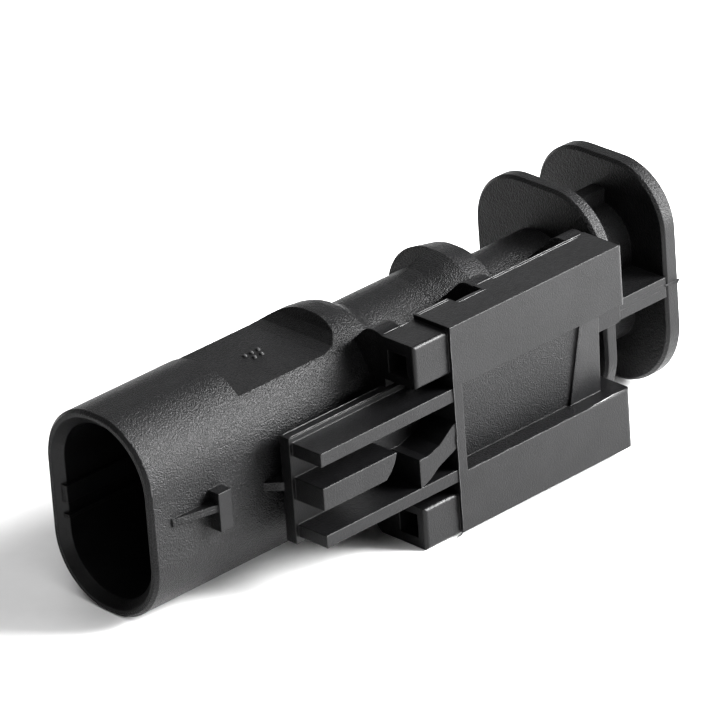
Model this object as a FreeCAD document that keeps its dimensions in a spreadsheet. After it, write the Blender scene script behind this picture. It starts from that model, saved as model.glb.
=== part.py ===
import FreeCAD, Part
import math
import os
import re
import Sketcher

# Blade half of a sealed two-way in-line automotive connector.
# X runs from the mating mouth (X = 0) back to the wire entry, Z is up, and the
# clip rail is on the -Y side. The origin is the centre of the mating mouth.
# All sizes are millimetres.

SIZES = [
    # shroud: the oval tube that the mating half slides into; each "flat" is the
    # straight stretch between the middle of a short side and its corner arc
    ("mouth_width", 14.2), ("mouth_height", 20.5), ("mouth_flat", 0.5),
    ("shroud_length", 28.0), ("shoulder_length", 4.3),
    ("mouth_wall_side", 1.6), ("mouth_wall_end", 1.5), ("socket_flat", 0.3),
    ("socket_depth", 12.0), ("deep_socket_width", 10.8), ("deep_socket_height", 14.0),
    ("deep_socket_flat", 0.8), ("deep_socket_depth", 10.0),
    ("mouth_chamfer", 0.85), ("mouth_edge", 0.3),
    # latch seat: the flat sunk into the crown, with its ramp at the rear
    ("latch_seat_start", 13.4), ("latch_seat_level", 8.4), ("latch_seat_length", 11.0),
    ("latch_ramp_radius", 3.4),
    # keying ribs on the far inner wall
    ("key_rib_height", 0.4), ("key_rib_width", 1.78), ("key_rib_level", 0.2),
    ("small_key_width", 0.4), ("small_key_level", -2.1), ("key_start", 0.45),
    # lock nub on the near side of the shroud
    ("nub_start", 7.0), ("nub_width", 1.6), ("nub_height", 3.9), ("nub_rise", 1.4),
    ("nub_rib_start", 2.3), ("nub_rib_width", 0.75), ("nub_rib_level", 0.45),
    # body, collar and neck
    ("body_width", 11.2), ("body_height", 17.6), ("body_flat", 0.2),
    ("body_length", 11.5), ("collar_length", 2.8),
    ("collar_width", 13.6), ("collar_height", 20.7), ("collar_flat", 0.4),
    ("collar_rear_width", 13.0), ("collar_rear_height", 19.6),
    ("ramp_length", 6.2), ("ramp_edge", 0.6), ("ramp_sink", 0.05),
    ("neck_width", 8.2), ("neck_height", 14.6), ("neck_flat", 0.1), ("neck_length", 10.9),
    # wire-side flanges and the webs between them
    ("flange_width", 17.0), ("flange_top", 12.15), ("flange_foot", 11.65),
    ("flange_top_flat", 2.3), ("flange_foot_flat", 0.7), ("flange_edge", 0.3),
    ("front_flange", 1.7), ("flange_gap", 6.8), ("rear_flange", 1.9),
    ("side_web", 2.1), ("side_web_level", 0.45),
    ("upright_web", 1.6), ("upright_web_height", 17.6),
    # clip rail: plate with three fins
    ("rail_start", 15.1), ("plate_back", 8.3), ("plate_thickness", 1.3),
    ("plate_top", 4.7), ("plate_foot", 6.15),
    ("fin_reach", 13.35), ("top_fin_level", 3.48), ("top_fin", 1.35),
    ("mid_fin_level", -0.56), ("mid_fin", 2.3), ("foot_fin_level", -4.9), ("foot_fin", 1.25),
    ("mid_fin_length", 9.9), ("fin_setback", 0.4),
    ("web_start", 13.8), ("web_thickness", 0.85), ("web_level", -0.5),
    # clip rail: blocks, frame, brace and bulkheads
    ("rail_back", 8.67), ("block_start", 28.2), ("block_reach", 13.1),
    ("upper_block_top", 10.0), ("upper_block", 4.4),
    ("lower_block_foot", 11.1), ("lower_block", 4.3),
    ("block_pocket", 2.4), ("block_pocket_depth", 3.2), ("block_pocket_wall", 0.9),
    ("block_round", 0.35),
    ("frame_start", 32.6), ("frame_length", 23.0), ("frame_reach", 13.45),
    ("frame_top", 10.45), ("frame_foot", 10.85), ("frame_corner", 0.6),
    ("upper_box", 6.25), ("lower_bar", 6.1), ("frame_rim", 1.1),
    ("notch_top", 3.7), ("notch_foot", 2.2), ("panel_post", 2.6), ("panel_sink", 1.85),
    ("panel_step", 0.25),
    ("core_floor", 1.45), ("core_wall", 1.2),
    ("top_slot_start", 37.0), ("top_slot_length", 3.4), ("top_slot_width", 1.3),
    ("brace_length", 4.85), ("brace_end", 2.9), ("brace_band", 2.7),
    ("bulkhead", 2.4), ("bulkhead_pitch", 12.4), ("notch_depth", 3.2),
    ("hump_top", 10.3), ("hump_reach", 1.1), ("hump_fall", 1.6), ("bulkhead_foot", 8.2),
    ("bulkhead_root", 2.5), ("joint_lap", 0.3),
    # contact chambers and seal bores
    ("contact_pitch", 6.8), ("contact_wall", 2.0), ("chamber_width", 3.6),
    ("chamber_height", 3.2), ("chamber_length", 13.0), ("seal_bore", 5.6),
    ("seal_seat_length", 10.0), ("entry_bore", 6.0),
    ("lance_room_start", 27.0), ("lance_room_length", 5.5),
    # blade contacts
    ("blade_width", 2.8), ("blade_thickness", 0.8), ("blade_front", 8.0), ("blade_taper", 1.2),
    ("contact_sheet", 0.35), ("box_length", 8.6), ("box_width", 3.3), ("box_height", 2.7),
    ("lance_rise", 0.75), ("lance_length", 3.4), ("lance_width", 1.4),
    ("crimp_gap", 0.9), ("wire_crimp_length", 3.0), ("wire_crimp_radius", 1.5),
    ("wire_crimp_drop", 1.2), ("seal_crimp_length", 2.4), ("seal_crimp_radius", 2.0),
    ("seal_crimp_drop", 1.3), ("contact_neck", 1.4), ("sheet_inset", 0.05),
    # wire seals
    ("seal_length", 8.4), ("seal_lip_depth", 0.55), ("seal_wire_bore", 1.9),
    ("seal_nose_length", 2.3), ("seal_lip_width", 1.5),
    # secondary lock
    ("lock_plate", 2.2), ("lock_tongue_length", 9.0), ("lock_tongue_width", 3.0),
    ("lock_tongue", 1.6), ("lock_rim", 1.0), ("lock_rim_height", 1.3),
    # clearances
    ("slide_clearance", 0.15), ("slot_clearance", 0.2), ("seal_clearance", 0.03),
    ("contact_clearance", 0.1), ("nose_clearance", 0.05),
]

doc = FreeCAD.newDocument("sealed_connector")
sheet = doc.addObject("Spreadsheet::Sheet", "Sizes")
for row, (alias, value) in enumerate(SIZES, start=1):
    sheet.set("A%d" % row, alias)
    sheet.set("B%d" % row, str(value))
    sheet.setAlias("B%d" % row, alias)
doc.recompute()
ALIASES = {alias for alias, value in SIZES}

# Stations along X and levels across it, worked out from the sizes above.
BODY_START = "(shroud_length + shoulder_length)"
COLLAR_START = "(shroud_length + shoulder_length + body_length)"
COLLAR_END = "(shroud_length + shoulder_length + body_length + collar_length)"
NECK_END = "(shroud_length + shoulder_length + body_length + collar_length + neck_length)"
GAP_START = "(%s + front_flange)" % NECK_END
REAR_START = "(%s + flange_gap)" % GAP_START
REAR_END = "(%s + rear_flange)" % REAR_START
MOUTH_CORNER = "(mouth_width / 2 - mouth_flat)"
BODY_CORNER = "(body_width / 2 - body_flat)"
SOCKET_WIDTH = "(mouth_width - 2 * mouth_wall_side)"
SOCKET_HEIGHT = "(mouth_height - 2 * mouth_wall_end)"
SOCKET_END = "(socket_depth + deep_socket_depth)"
CHAMBER_START = "(%s + contact_wall)" % SOCKET_END
BORE_START = "(%s + chamber_length)" % CHAMBER_START
ENTRY_START = "(%s + seal_seat_length)" % BORE_START
FRAME_END = "(frame_start + frame_length)"
PLATE_FACE = "(plate_back + plate_thickness)"
UPPER_BOX_FOOT = "(frame_top - upper_box)"
LOWER_BAR_TOP = "(lower_bar - frame_foot)"
BOX_START = "(%s + contact_clearance)" % CHAMBER_START
BOX_END = "(%s + box_length)" % BOX_START
WIRE_CRIMP = "(%s + crimp_gap)" % BOX_END
WIRE_CRIMP_END = "(%s + wire_crimp_length)" % WIRE_CRIMP
SEAL_CRIMP = "(%s + crimp_gap)" % WIRE_CRIMP_END
SEAL_CRIMP_END = "(%s + seal_crimp_length)" % SEAL_CRIMP


def link(text):
    """Turn a formula in size names into one that reads the sheet."""
    return re.sub(r"[a-z_]+", lambda m: "Sizes." + m.group(0) if m.group(0) in ALIASES else m.group(0), text)


def between(start, end, share):
    """A formula for the value that lies a share of the way from start to end."""
    return "((%s) + ((%s) - (%s)) * %s)" % (start, end, start, share)


def new_body(name):
    body = doc.addObject("PartDesign::Body", name)
    body.Label = name
    return body


def sketch_on(body, name, role, offset="0"):
    """A sketch on one of the body's own origin planes, moved along its normal.

    YZ_Plane draws in (Y, Z) and faces +X, XZ_Plane draws in (X, Z) and faces -Y,
    XY_Plane draws in (X, Y) and faces +Z.
    """
    sketch = body.newObject("Sketcher::SketchObject", name)
    plane = next(item for item in body.Origin.OriginFeatures if item.Role == role)
    sketch.AttachmentSupport = [(plane, "")]
    sketch.MapMode = "FlatFace"
    sketch.setExpression("AttachmentOffset.Base.z", link(offset))
    return sketch


def dimension(sketch, kind, element, point, formula, start):
    """Tie one coordinate of a point to a formula, measured from the sketch's origin."""
    index = sketch.addConstraint(Sketcher.Constraint(kind, -1, 1, element, point, start))
    sketch.setExpression("Constraints[%d]" % index, link(formula))


def polygon(sketch, corners):
    """A closed outline of straight lines through corners given as formulas."""
    count = len(corners)
    first = sketch.GeometryCount
    turn = [2 * math.pi * k / count for k in range(count)]
    start = [FreeCAD.Vector(30 * math.cos(a), 30 * math.sin(a), 0) for a in turn]
    for k in range(count):
        sketch.addGeometry(Part.LineSegment(start[k], start[(k + 1) % count]), False)
    for k in range(count):
        following = first + (k + 1) % count
        sketch.addConstraint(Sketcher.Constraint("Coincident", first + k, 2, following, 1))
    for k, (across, up) in enumerate(corners):
        dimension(sketch, "DistanceX", first + k, 1, across, start[k].x)
        dimension(sketch, "DistanceY", first + k, 1, up, start[k].y)


def rectangle(sketch, left, right, foot, top):
    polygon(sketch, [(left, foot), (right, foot), (right, top), (left, top)])


def oval(sketch, width, height, corner, foot_corner=None, cut_at=None, foot_level=None):
    """A rounded rectangle centred on the sketch's origin, or its left part up to cut_at.

    With foot_level the lower side lies there and height counts for the upper side alone.
    """
    half, tall, round_ = 6.0, 9.0, 4.0
    right = half if cut_at is None else 0.5
    vector = FreeCAD.Vector
    lines = [
        (vector(-half + round_, -tall, 0), vector(right - (round_ if cut_at is None else 0), -tall, 0)),
        (vector(right, -tall + (round_ if cut_at is None else 0), 0),
         vector(right, tall - (round_ if cut_at is None else 0), 0)),
        (vector(right - (round_ if cut_at is None else 0), tall, 0), vector(-half + round_, tall, 0)),
        (vector(-half, tall - round_, 0), vector(-half, -tall + round_, 0)),
    ]
    foot, side, top, other = [sketch.addGeometry(Part.LineSegment(*ends), False) for ends in lines]

    def arc(x, y, quarter):
        circle = Part.Circle(vector(x, y, 0), vector(0, 0, 1), round_)
        return sketch.addGeometry(
            Part.ArcOfCircle(circle, quarter * math.pi / 2, (quarter + 1) * math.pi / 2), False)

    def smooth(one, one_end, two, two_end):
        sketch.addConstraint(Sketcher.Constraint("Tangent", one, one_end, two, two_end))

    top_left = arc(-half + round_, tall - round_, 1)
    foot_left = arc(-half + round_, -tall + round_, 2)
    smooth(top, 2, top_left, 1)
    smooth(top_left, 2, other, 1)
    smooth(other, 2, foot_left, 1)
    smooth(foot_left, 2, foot, 1)
    pairs = [(top_left, corner), (foot_left, foot_corner or corner)]
    if cut_at is None:
        foot_right = arc(half - round_, -tall + round_, 3)
        top_right = arc(half - round_, tall - round_, 0)
        smooth(foot, 2, foot_right, 1)
        smooth(foot_right, 2, side, 1)
        smooth(side, 2, top_right, 1)
        smooth(top_right, 2, top, 1)
        pairs += [(top_right, corner), (foot_right, foot_corner or corner)]
    else:
        sketch.addConstraint(Sketcher.Constraint("Coincident", foot, 2, side, 1))
        sketch.addConstraint(Sketcher.Constraint("Coincident", side, 2, top, 1))
    for line, kind in ((foot, "Horizontal"), (top, "Horizontal"), (side, "Vertical"), (other, "Vertical")):
        sketch.addConstraint(Sketcher.Constraint(kind, line))
    for element, radius in pairs:
        index = sketch.addConstraint(Sketcher.Constraint("Radius", element, round_))
        sketch.setExpression("Constraints[%d]" % index, link(radius))
    dimension(sketch, "DistanceX", side, 1, cut_at or "(%s) / 2" % width, right)
    dimension(sketch, "DistanceX", other, 1, "-(%s) / 2" % width, -half)
    dimension(sketch, "DistanceY", top, 1, "(%s) / 2" % height, tall)
    dimension(sketch, "DistanceY", foot, 1, foot_level or "-(%s) / 2" % height, -tall)


def horseshoe(sketch, radius, thickness, drop):
    """A half ring over the origin with two straight legs that hang down by drop."""
    vector = FreeCAD.Vector
    centre, up = vector(0, 0, 0), vector(0, 0, 1)
    outer = sketch.addGeometry(Part.ArcOfCircle(Part.Circle(centre, up, 2.0), 0, math.pi), False)
    inner = sketch.addGeometry(Part.ArcOfCircle(Part.Circle(centre, up, 1.6), 0, math.pi), False)
    ends = {}
    for side, turn in (("right", 1), ("left", -1)):
        for ring, element, far in (("outer", outer, 2.0), ("inner", inner, 1.6)):
            leg = sketch.addGeometry(
                Part.LineSegment(vector(turn * far, 0, 0), vector(turn * far, -1, 0)), False)
            sketch.addConstraint(Sketcher.Constraint("Vertical", leg))
            sketch.addConstraint(Sketcher.Constraint("Coincident", leg, 1, element, 1 if turn > 0 else 2))
            dimension(sketch, "DistanceY", leg, 2, "-" + drop, -1.0)
            ends[side, ring] = leg
        foot = sketch.addGeometry(
            Part.LineSegment(vector(turn * 2.0, -1, 0), vector(turn * 1.6, -1, 0)), False)
        sketch.addConstraint(Sketcher.Constraint("Coincident", foot, 1, ends[side, "outer"], 2))
        sketch.addConstraint(Sketcher.Constraint("Coincident", foot, 2, ends[side, "inner"], 2))
    for element, size_text in ((outer, radius), (inner, "%s - %s" % (radius, thickness))):
        sketch.addConstraint(Sketcher.Constraint("Coincident", element, 3, -1, 1))
        for end in (1, 2):
            sketch.addConstraint(Sketcher.Constraint("PointOnObject", element, end, -1))
        index = sketch.addConstraint(Sketcher.Constraint("Radius", element, 2.0))
        sketch.setExpression("Constraints[%d]" % index, link(size_text))


def round_holes(sketch, diameter, places):
    """Circles of one diameter, centred at places given as formulas."""
    for across, up in places:
        circle = sketch.addGeometry(
            Part.Circle(FreeCAD.Vector(0, 3, 0), FreeCAD.Vector(0, 0, 1), 2.0), False)
        index = sketch.addConstraint(Sketcher.Constraint("Diameter", circle, 4.0))
        sketch.setExpression("Constraints[%d]" % index, link(diameter))
        dimension(sketch, "DistanceX", circle, 3, across, 0.0)
        dimension(sketch, "DistanceY", circle, 3, up, 3.0)


def extrude(body, kind, name, sketch, length, backwards=False, both_ways=False):
    feature = body.newObject("PartDesign::" + kind, name)
    feature.Profile = sketch
    feature.setExpression("Length", link(length))
    feature.Reversed = backwards
    feature.Midplane = both_ways
    sketch.Visibility = False
    return feature


def loft(body, name, sections, kind="AdditiveLoft"):
    """A loft with straight sides from each section to the next."""
    feature = body.newObject("PartDesign::" + kind, name)
    feature.Profile = sections[0]
    feature.Sections = sections[1:]
    feature.Ruled = True
    return feature


def dress(body, kind, name, base, wanted, size):
    """Fillet or chamfer the edges of base whose middle point passes the test."""
    doc.recompute()
    names = []
    for number, edge in enumerate(base.Shape.Edges, start=1):
        middle = edge.valueAt((edge.FirstParameter + edge.LastParameter) / 2)
        ends = [vertex.Point for vertex in edge.Vertexes]
        if wanted(middle, ends, edge):
            names.append("Edge%d" % number)
    if not names:
        raise ValueError("no edge found for " + name)
    feature = body.newObject("PartDesign::" + kind, name)
    feature.Base = (base, names)
    feature.setExpression("Radius" if kind == "Fillet" else "Size", link(size))
    return feature


def size(alias):
    return float(sheet.get(alias))


# Housing: one moulding of glass-filled polyamide.
housing = new_body("housing")

mouth_outline = sketch_on(housing, "mouth_outline", "YZ_Plane")
oval(mouth_outline, "mouth_width - 2 * mouth_edge", "mouth_height - 2 * mouth_edge",
     MOUTH_CORNER + " - mouth_edge")
shroud_outline = sketch_on(housing, "shroud_outline", "YZ_Plane", "mouth_edge")
oval(shroud_outline, "mouth_width", "mouth_height", MOUTH_CORNER)
loft(housing, "mouth_bevel", [mouth_outline, shroud_outline])
tube_outline = sketch_on(housing, "tube_outline", "YZ_Plane", "mouth_edge")
oval(tube_outline, "mouth_width", "mouth_height", MOUTH_CORNER)
extrude(housing, "Pad", "shroud", tube_outline, "shroud_length - mouth_edge")

# The shoulder falls from the shroud to the body in a soft S.
stations = []
for number, (along, share) in enumerate(((0, 0), (0.35, 0.1), (0.54, 0.24), (0.65, 0.41),
                                         (0.86, 0.83), (1, 1))):
    station = sketch_on(housing, "shoulder_%d" % number, "YZ_Plane",
                        "shroud_length + shoulder_length * %s" % along)
    width = between("mouth_width", "body_width", share)
    flat = between("mouth_flat", "body_flat", share)
    oval(station, width, between("mouth_height", "body_height", share), "%s / 2 - %s" % (width, flat))
    stations.append(station)
loft(housing, "shoulder", stations)

body_outline = sketch_on(housing, "body_outline", "YZ_Plane", BODY_START)
oval(body_outline, "body_width", "body_height", BODY_CORNER)
extrude(housing, "Pad", "rear_body", body_outline, "body_length + collar_length")

# The near half of the body swells gently up to the collar.
stations = []
for number, (along, share) in enumerate(((0, 0), (0.3, 0.12), (0.55, 0.38), (0.78, 0.72), (1, 1))):
    station = sketch_on(housing, "swell_%d" % number, "YZ_Plane",
                        COLLAR_START + " - ramp_length * (1 - %s)" % along)
    width = between("body_width - 2 * ramp_sink", "collar_width", share)
    flat = between("body_flat", "collar_flat", share)
    oval(station, width, between("body_height - 2 * ramp_sink", "collar_height", share),
         "%s / 2 - %s" % (width, flat), cut_at="ramp_edge")
    stations.append(station)
loft(housing, "collar_swell", stations)

collar_front = sketch_on(housing, "collar_front", "YZ_Plane", COLLAR_START)
oval(collar_front, "collar_width", "collar_height", "collar_width / 2 - collar_flat")
collar_rear = sketch_on(housing, "collar_rear", "YZ_Plane", COLLAR_END)
oval(collar_rear, "collar_rear_width", "collar_rear_height", "collar_rear_width / 2 - collar_flat")
loft(housing, "collar", [collar_front, collar_rear])

neck_outline = sketch_on(housing, "neck_outline", "YZ_Plane", COLLAR_END)
oval(neck_outline, "neck_width", "neck_height", "neck_width / 2 - neck_flat")
extrude(housing, "Pad", "neck", neck_outline, REAR_END + " - " + COLLAR_END)



# The flanges, each with its rim bevelled on both faces.
for name, start, thickness in (("front_flange", NECK_END, "front_flange"),
                               ("rear_flange", REAR_START, "rear_flange")):
    stations = []
    for number, (along, inset) in enumerate((("0", "flange_edge"), ("flange_edge", "0"),
                                             (thickness + " - flange_edge", "0"),
                                             (thickness, "flange_edge"))):
        outline = sketch_on(housing, "%s_outline_%d" % (name, number), "YZ_Plane", start + " + " + along)
        oval(outline, "flange_width - 2 * " + inset, "2 * flange_top - 2 * " + inset,
             "flange_width / 2 - flange_top_flat - " + inset,
             "flange_width / 2 - flange_foot_flat - " + inset, foot_level="-flange_foot + " + inset)
        stations.append(outline)
    loft(housing, name + "_plate", stations)

# Webs between the flanges: a cross of one level web and one upright web.
web_cross = sketch_on(housing, "web_cross", "YZ_Plane", GAP_START)
level_top = "(side_web_level + side_web / 2)"
level_foot = "(side_web_level - side_web / 2)"
polygon(web_cross, [
    ("-flange_width / 2", level_foot), ("-upright_web / 2", level_foot),
    ("-upright_web / 2", "-upright_web_height / 2"), ("upright_web / 2", "-upright_web_height / 2"),
    ("upright_web / 2", level_foot), ("flange_width / 2", level_foot),
    ("flange_width / 2", level_top), ("upright_web / 2", level_top),
    ("upright_web / 2", "upright_web_height / 2"), ("-upright_web / 2", "upright_web_height / 2"),
    ("-upright_web / 2", level_top), ("-flange_width / 2", level_top)])
extrude(housing, "Pad", "webs", web_cross, "flange_gap")

# Clip rail, front part: an upright plate with three fins, drawn as one comb.
comb = sketch_on(housing, "comb", "YZ_Plane", "rail_start + fin_setback")
comb_corners = [("-plate_back", "plate_top"), ("-" + PLATE_FACE, "plate_top")]
for level, thickness in (("top_fin_level", "top_fin"), ("mid_fin_level", "mid_fin"),
                         ("foot_fin_level", "foot_fin")):
    fin_top = "%s + %s / 2" % (level, thickness)
    fin_foot = "%s - %s / 2" % (level, thickness)
    comb_corners += [("-" + PLATE_FACE, fin_top), ("-fin_reach", fin_top),
                     ("-fin_reach", fin_foot), ("-" + PLATE_FACE, fin_foot)]
comb_corners += [("-" + PLATE_FACE, "-plate_foot"), ("-plate_back", "-plate_foot")]
polygon(comb, comb_corners)
extrude(housing, "Pad", "fins", comb, "frame_start - rail_start - fin_setback + frame_rim / 2")

plate_edge = sketch_on(housing, "plate_edge", "YZ_Plane", "rail_start")
rectangle(plate_edge, "-" + PLATE_FACE, "-plate_back", "-plate_foot", "plate_top")
extrude(housing, "Pad", "plate_front", plate_edge, "fin_setback")

# The middle fin stops early, in a hollow curve down to the plate.
fin_end = sketch_on(housing, "fin_end", "XZ_Plane", PLATE_FACE)
mid_top = "mid_fin_level + mid_fin / 2 + 0.05"
mid_foot = "mid_fin_level - mid_fin / 2 - 0.05"
fin_stop = "rail_start + mid_fin_length"
polygon(fin_end, [(fin_stop + " - 1.6", mid_foot), ("frame_start", mid_foot), ("frame_start", mid_top),
                  (fin_stop, mid_top), (fin_stop + " - 0.35", "mid_fin_level + 0.2"),
                  (fin_stop + " - 0.85", "mid_fin_level - 0.5")])
extrude(housing, "Pocket", "mid_fin_end", fin_end, "fin_reach", backwards=True)

# A level web ties the plate and the frame to the shroud and body.
tie = sketch_on(housing, "tie", "XY_Plane", "web_level - web_thickness / 2")
polygon(tie, [("web_start", "-mouth_width / 2 + mouth_wall_side / 2"),
              ("web_start", "-mouth_width / 2"), ("rail_start", "-plate_back - 0.2"),
              (FRAME_END + " - notch_top", "-rail_back - joint_lap"),
              (FRAME_END + " - notch_top", "-neck_width / 4"),
              (BODY_START, "-neck_width / 4"),
              (BODY_START, "-mouth_width / 2 + mouth_wall_side / 2")])
extrude(housing, "Pad", "tie_web", tie, "web_thickness")

# Blocks in front of the frame.
blocks = sketch_on(housing, "blocks", "XZ_Plane", "rail_back")
rectangle(blocks, "block_start", "frame_start + frame_rim / 2",
          "upper_block_top - upper_block", "upper_block_top")
rectangle(blocks, "block_start", "frame_start + frame_rim / 2",
          "-lower_block_foot", "-lower_block_foot + lower_block")
extrude(housing, "Pad", "rail_blocks", blocks, "block_reach - rail_back")

# Frame: the long box that the clip closes round, notched at its rear end.
frame_outline = sketch_on(housing, "frame_outline", "XZ_Plane", "rail_back")
polygon(frame_outline, [("frame_start", "-frame_foot"), (FRAME_END, "-frame_foot"),
                        (FRAME_END, LOWER_BAR_TOP), (FRAME_END + " - notch_foot", LOWER_BAR_TOP),
                        (FRAME_END + " - notch_top", UPPER_BOX_FOOT), (FRAME_END, UPPER_BOX_FOOT),
                        (FRAME_END, "frame_top"), ("frame_start", "frame_top")])
extrude(housing, "Pad", "frame", frame_outline, "frame_reach - rail_back")

# Bulkheads bridge the gap between the body and the rail.
bulkhead_outline = sketch_on(housing, "bulkhead_outline", "YZ_Plane", "block_start")
polygon(bulkhead_outline, [
    ("-rail_back - joint_lap", "upper_block_top"), ("-rail_back + hump_reach * 0.4", "hump_top - 0.06"),
    ("-rail_back + hump_reach", "hump_top"), ("-rail_back + hump_reach + 0.6", "hump_top - 0.12"),
    ("-rail_back + hump_reach + 1.2", "hump_top - 0.5"),
    ("-rail_back + hump_reach + 1.9", "hump_top - hump_fall * 0.75"),
    ("-body_width / 2 + 1.2", "bulkhead_foot - 0.2"), ("-bulkhead_root", "neck_height / 2 - 1"),
    ("-bulkhead_root", "-neck_height / 2 + 1"), ("-body_width / 2 + 1.2", "-bulkhead_foot"),
    ("-rail_back + hump_reach + 0.6", "-lower_block_foot"), ("-rail_back - joint_lap", "-lower_block_foot")])
bulkheads = extrude(housing, "Pad", "first_bulkhead", bulkhead_outline, "bulkhead")
row = housing.newObject("PartDesign::LinearPattern", "bulkhead_row")
row.Originals = [bulkheads]
row.Direction = (next(i for i in housing.Origin.OriginFeatures if i.Role == "X_Axis"), [""])
row.setExpression("Length", link("bulkhead_pitch * 2"))
row.Occurrences = 3
housing.Tip = row

# The notch goes on through the outer part of the last bulkhead.
notch_floor = sketch_on(housing, "notch_floor", "XZ_Plane", "rail_back + joint_lap")
polygon(notch_floor, [(FRAME_END + " - notch_foot", LOWER_BAR_TOP), (FRAME_END + " + 0.5", LOWER_BAR_TOP),
                      (FRAME_END + " + 0.5", UPPER_BOX_FOOT), (FRAME_END + " - notch_top", UPPER_BOX_FOOT)])
extrude(housing, "Pocket", "notch_through", notch_floor, "notch_depth + joint_lap")

# Diagonal brace from the frame down to the foot fin.
brace = sketch_on(housing, "brace", "XZ_Plane", PLATE_FACE + " - 0.1")
fin_shelf = "foot_fin_level + foot_fin / 2"
polygon(brace, [
    ("frame_start - brace_length", fin_shelf + " - 0.05"),
    ("frame_start - 3.6", fin_shelf + " + 0.45"), ("frame_start - 2.4", fin_shelf + " + 1.3"),
    ("frame_start + 0.3", fin_shelf + " + 2.4"),
    ("frame_start + 0.3", fin_shelf + " + 2.4 + brace_band"),
    ("frame_start - 0.8", fin_shelf + " + 1.75 + brace_band"),
    ("frame_start - 2.2", fin_shelf + " + 0.7 + brace_band"),
    ("frame_start - 3.8", fin_shelf + " + brace_end"),
    ("frame_start - brace_length", fin_shelf + " + brace_end")])
extrude(housing, "Pad", "brace_wall", brace, "fin_reach - " + PLATE_FACE + " + 0.1")

# Lock nub: an upright bar with a wedge-shaped rib running into it.
nub = sketch_on(housing, "nub", "XZ_Plane", "mouth_width / 2 - 0.2")
rectangle(nub, "nub_start", "nub_start + nub_width", "-nub_height / 2", "nub_height / 2")
extrude(housing, "Pad", "nub_bar", nub, "nub_rise + 0.2")
nub_wedge = sketch_on(housing, "nub_wedge", "XY_Plane", "nub_rib_level - nub_rib_width / 2")
polygon(nub_wedge, [("nub_rib_start", "-mouth_width / 2 + 0.2"),
                    ("nub_start + 0.2", "-mouth_width / 2 + 0.2"),
                    ("nub_start + 0.2", "-mouth_width / 2 - nub_rise + 0.15"),
                    ("nub_rib_start", "-mouth_width / 2 - 0.15")])
extrude(housing, "Pad", "nub_rib", nub_wedge, "nub_rib_width")

# Latch seat: a flat milled across the crown that runs up into a hollow ramp.
seat = sketch_on(housing, "seat", "XZ_Plane")
seat_end = "latch_seat_start + latch_seat_length"
polygon(seat, [("latch_seat_start", "latch_seat_level"), (seat_end, "latch_seat_level"),
               (seat_end + " + latch_ramp_radius * 0.383", "latch_seat_level + latch_ramp_radius * 0.076"),
               (seat_end + " + latch_ramp_radius * 0.707", "latch_seat_level + latch_ramp_radius * 0.293"),
               (seat_end + " + latch_ramp_radius * 0.924", "latch_seat_level + latch_ramp_radius * 0.617"),
               (seat_end + " + latch_ramp_radius", "mouth_height / 2 + 1"),
               ("latch_seat_start", "mouth_height / 2 + 1")])
extrude(housing, "Pocket", "latch_seat", seat, "mouth_width", both_ways=True)

# Sunk panel of the frame: it leans inwards towards the lower bar.
lean = sketch_on(housing, "lean", "YZ_Plane", "frame_start + frame_rim")
polygon(lean, [("-frame_reach - 1", UPPER_BOX_FOOT), ("-frame_reach", UPPER_BOX_FOOT),
               ("-frame_reach + panel_sink", LOWER_BAR_TOP), ("-frame_reach - 1", LOWER_BAR_TOP)])
extrude(housing, "Pocket", "panel_lean", lean, "frame_length - frame_rim", backwards=True)
sunk = sketch_on(housing, "sunk", "YZ_Plane", "frame_start + frame_rim")
polygon(sunk, [("-frame_reach - 1", UPPER_BOX_FOOT), ("-frame_reach + panel_step", UPPER_BOX_FOOT),
               ("-frame_reach + panel_step + panel_sink", LOWER_BAR_TOP),
               ("-frame_reach - 1", LOWER_BAR_TOP)])
extrude(housing, "Pocket", "panel_sunk", sunk,
        "frame_length - frame_rim - notch_top - panel_post", backwards=True)

# Cored-out back of the frame, between the bulkheads, and the slot at its top edge.
cores = sketch_on(housing, "cores", "XZ_Plane", "rail_back")
first_bay = "block_start + bulkhead + bulkhead_pitch"
for left, right in (("frame_start + core_wall", "block_start + bulkhead_pitch"),
                    (first_bay, "block_start + 2 * bulkhead_pitch - core_wall")):
    rectangle(cores, left, right, UPPER_BOX_FOOT + " + core_wall", "frame_top - core_wall")
    rectangle(cores, left, right, "-frame_foot + core_wall", LOWER_BAR_TOP + " - core_wall")
extrude(housing, "Pocket", "back_cores", cores, "frame_reach - rail_back - core_wall", backwards=True)
top_slot = sketch_on(housing, "top_slot", "XY_Plane", "frame_top")
rectangle(top_slot, "top_slot_start", "top_slot_start + top_slot_length",
          "-rail_back - top_slot_width", "-rail_back + 0.1")
extrude(housing, "Pocket", "frame_slot", top_slot, "core_wall + 0.5")

# Square core-outs in the front faces of the blocks.
pockets = sketch_on(housing, "pockets", "YZ_Plane", "block_start")
for foot in ("upper_block_top - block_pocket_wall - 0.35 - block_pocket",
             "-lower_block_foot + lower_block - block_pocket_wall - block_pocket"):
    rectangle(pockets, "-rail_back - block_pocket_wall - block_pocket",
              "-rail_back - block_pocket_wall", foot, foot + " + block_pocket")
extrude(housing, "Pocket", "block_pockets", pockets, "block_pocket_depth", backwards=True)

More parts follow.
